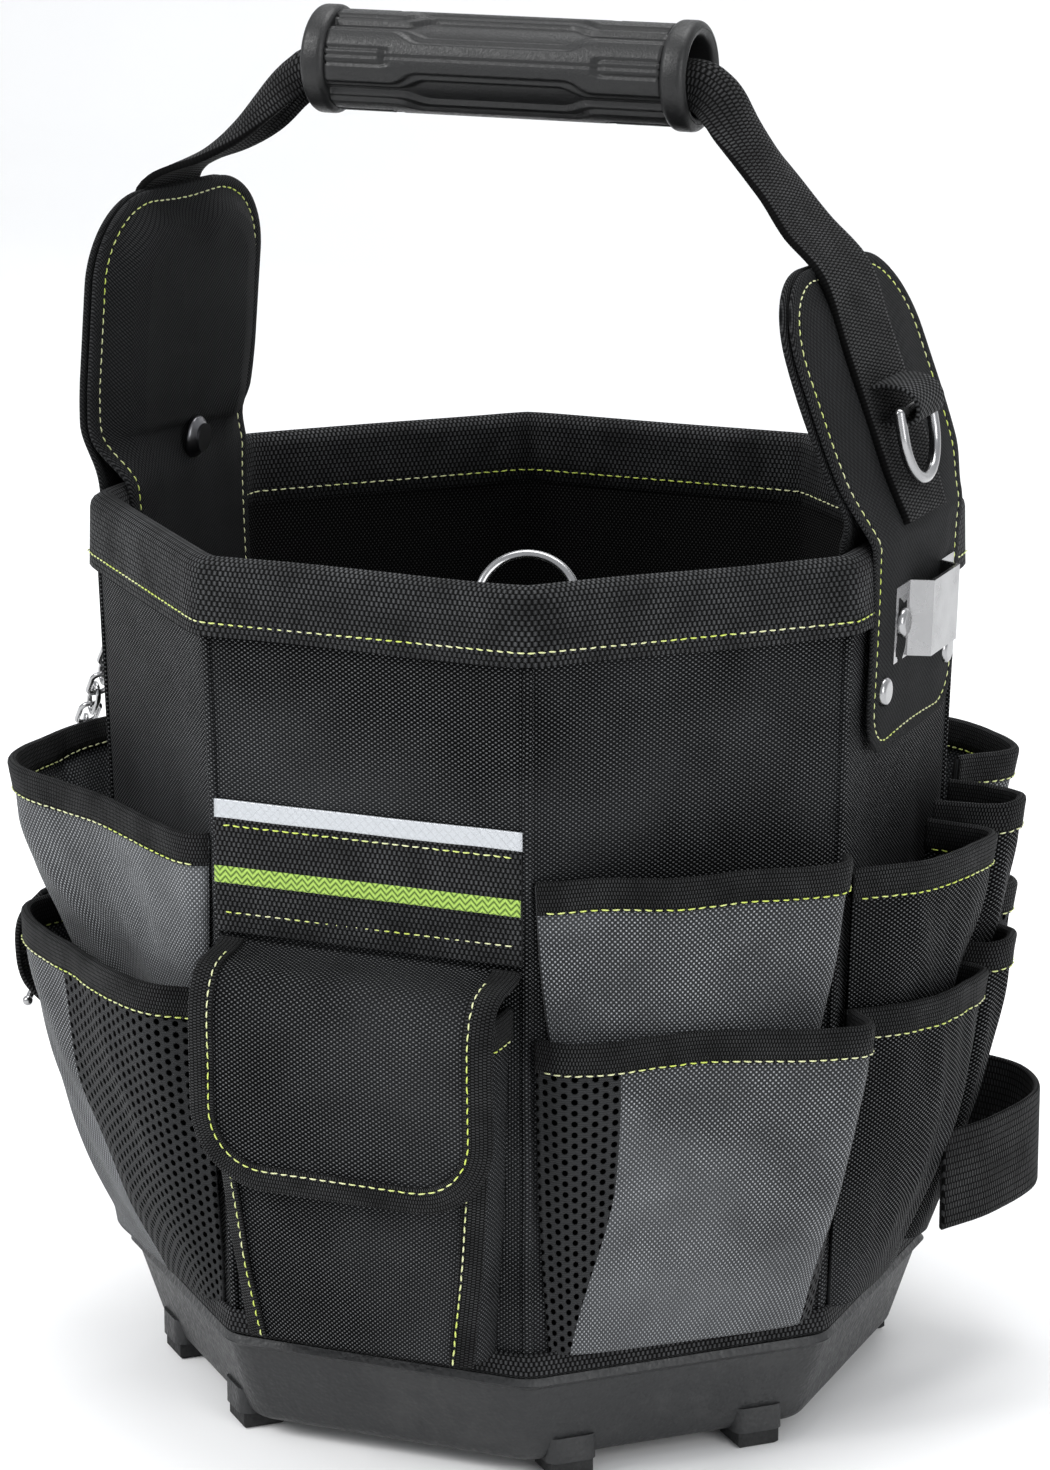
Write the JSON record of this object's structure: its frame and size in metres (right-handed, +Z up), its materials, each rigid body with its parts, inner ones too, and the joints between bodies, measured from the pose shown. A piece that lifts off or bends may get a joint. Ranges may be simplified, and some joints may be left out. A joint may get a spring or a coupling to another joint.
{
  "type": "tool bucket organizer",
  "caption": "Eight-sided open tool bucket of stiffened fabric on a moulded footed tray, with outside pockets, a flap pocket, riveted side yokes and a webbing handle with a tube grip.",
  "frame": {"origin": "on the axis of the eight-sided bucket, in the plane of the feet's undersides", "axes": "+Z up; X along the handle, from the yoke with the tape chain (-X) to the yoke with the tape clip (+X); -Y towards the flap pocket"},
  "size_m": [0.3588, 0.3283, 0.4766],
  "materials": {
    "moulded_tray": "fine grained matt moulding",
    "foot_rubber": "matt",
    "grip_rubber": "satin moulded",
    "board": "matt sheet",
    "lining_fabric": "smooth woven lining",
    "black_fabric": "coarse woven polyester",
    "grey_fabric": "coarse woven polyester with a slight sheen",
    "webbing": "ribbed webbing",
    "lime_webbing": "woven stripe",
    "reflective": "silver reflective tape",
    "hook_loop": "hook and loop pile",
    "polished_steel": "polished",
    "dark_nickel": "dark nickel"
  },
  "bodies": {
    "bucket": {"base_tray": "moulded_tray", "rubber_feet": "foot_rubber", "base_board": "board", "lining": "lining_fabric", "wall_boards": "board", "outer_shell": "black_fabric", "rim_binding": "webbing", "base_binding": "webbing", "right_yoke_outer": "black_fabric", "right_yoke_core": "board", "right_yoke_inner": "black_fabric", "left_yoke_outer": "black_fabric", "left_yoke_core": "board", "left_yoke_inner": "black_fabric", "right_yoke_strap": "webbing", "left_yoke_strap": "webbing", "right_yoke_rivets": "polished_steel", "left_yoke_rivets": "dark_nickel", "strap_rivet": "dark_nickel", "tape_clip": "polished_steel", "clip_rivets": "polished_steel", "d_ring_loop": "webbing", "inner_ring_loop": "webbing", "chain_anchor": "polished_steel", "web_band": "webbing", "lime_stripe": "lime_webbing", "reflective_strip": "reflective", "front_pocket": "black_fabric", "loop_tape": "hook_loop", "upper_pocket_front_right": "grey_fabric", "upper_pocket_front_left": "grey_fabric", "upper_pocket_right_front": "black_fabric", "upper_pocket_right_rear": "black_fabric", "upper_pocket_left_rear": "black_fabric", "upper_pocket_rear_right": "grey_fabric", "upper_pocket_rear_left": "grey_fabric", "upper_pocket_back": "black_fabric", "lower_pocket_front_right": "grey_fabric", "lower_pocket_front_left": "grey_fabric", "lower_pocket_right_front": "black_fabric", "lower_pocket_right_rear": "black_fabric", "lower_pocket_left": "black_fabric", "lower_pocket_rear_right": "grey_fabric", "lower_pocket_rear_left": "grey_fabric", "lower_pocket_back": "grey_fabric", "upper_pocket_bindings": "webbing", "lower_pocket_bindings": "webbing", "tool_loop": "webbing", "side_loop": "webbing"},
    "handle": {"handle_webbing": "webbing"},
    "grip": {"grip": "grip_rubber"},
    "flap": {"front_flap": "black_fabric", "front_flap_binding": "webbing", "hook_tape": "hook_loop"},
    "d_ring": {"d_ring": "polished_steel"},
    "inner_ring": {"inner_ring": "polished_steel"},
    "chain_upper": {"chain_upper": "polished_steel"},
    "chain_lower": {"chain_lower": "polished_steel"},
    "t_bar": {"t_bar": "polished_steel"}
  },
  "joints": [
    {"name": "handle_fold", "type": "hinge", "parent": "bucket", "child": "handle", "pos_m": [0, 0, 0.424], "axis": [1, 0, 0], "range_deg": [-90, 90]},
    {"name": "grip_turn", "type": "hinge", "parent": "handle", "child": "grip", "pos_m": [-0.007, 0, 0.458], "axis": [1, 0, 0], "continuous": true},
    {"name": "flap_open", "type": "hinge", "parent": "bucket", "child": "flap", "pos_m": [0, -0.13868, 0.182], "axis": [-1, 0, 0], "range_deg": [0, 85]},
    {"name": "d_ring_swing", "type": "hinge", "parent": "bucket", "child": "d_ring", "pos_m": [0.13959, 0, 0.352], "axis": [0, -1, 0], "range_deg": [0, 150]},
    {"name": "inner_ring_swing", "type": "hinge", "parent": "bucket", "child": "inner_ring", "pos_m": [0.05128, -0.1238, 0.288], "axis": [-0.9239, -0.3827, 0], "range_deg": [-20, 130]},
    {"name": "chain_swing", "type": "hinge", "parent": "bucket", "child": "chain_upper", "pos_m": [-0.14414, -0.033, 0.25228], "axis": [0.7319, 0.6814, 0], "range_deg": [0, 60]},
    {"name": "chain_bend", "type": "hinge", "parent": "chain_upper", "child": "chain_lower", "pos_m": [-0.17381, -0.00113, 0.21293], "axis": [0.7319, 0.6814, 0], "range_deg": [0, 75]},
    {"name": "t_bar_turn", "type": "hinge", "parent": "chain_lower", "child": "t_bar", "pos_m": [-0.183, -0.008, 0.1372], "axis": [1, 0, 0], "range_deg": [-75, 30]}
  ]
}
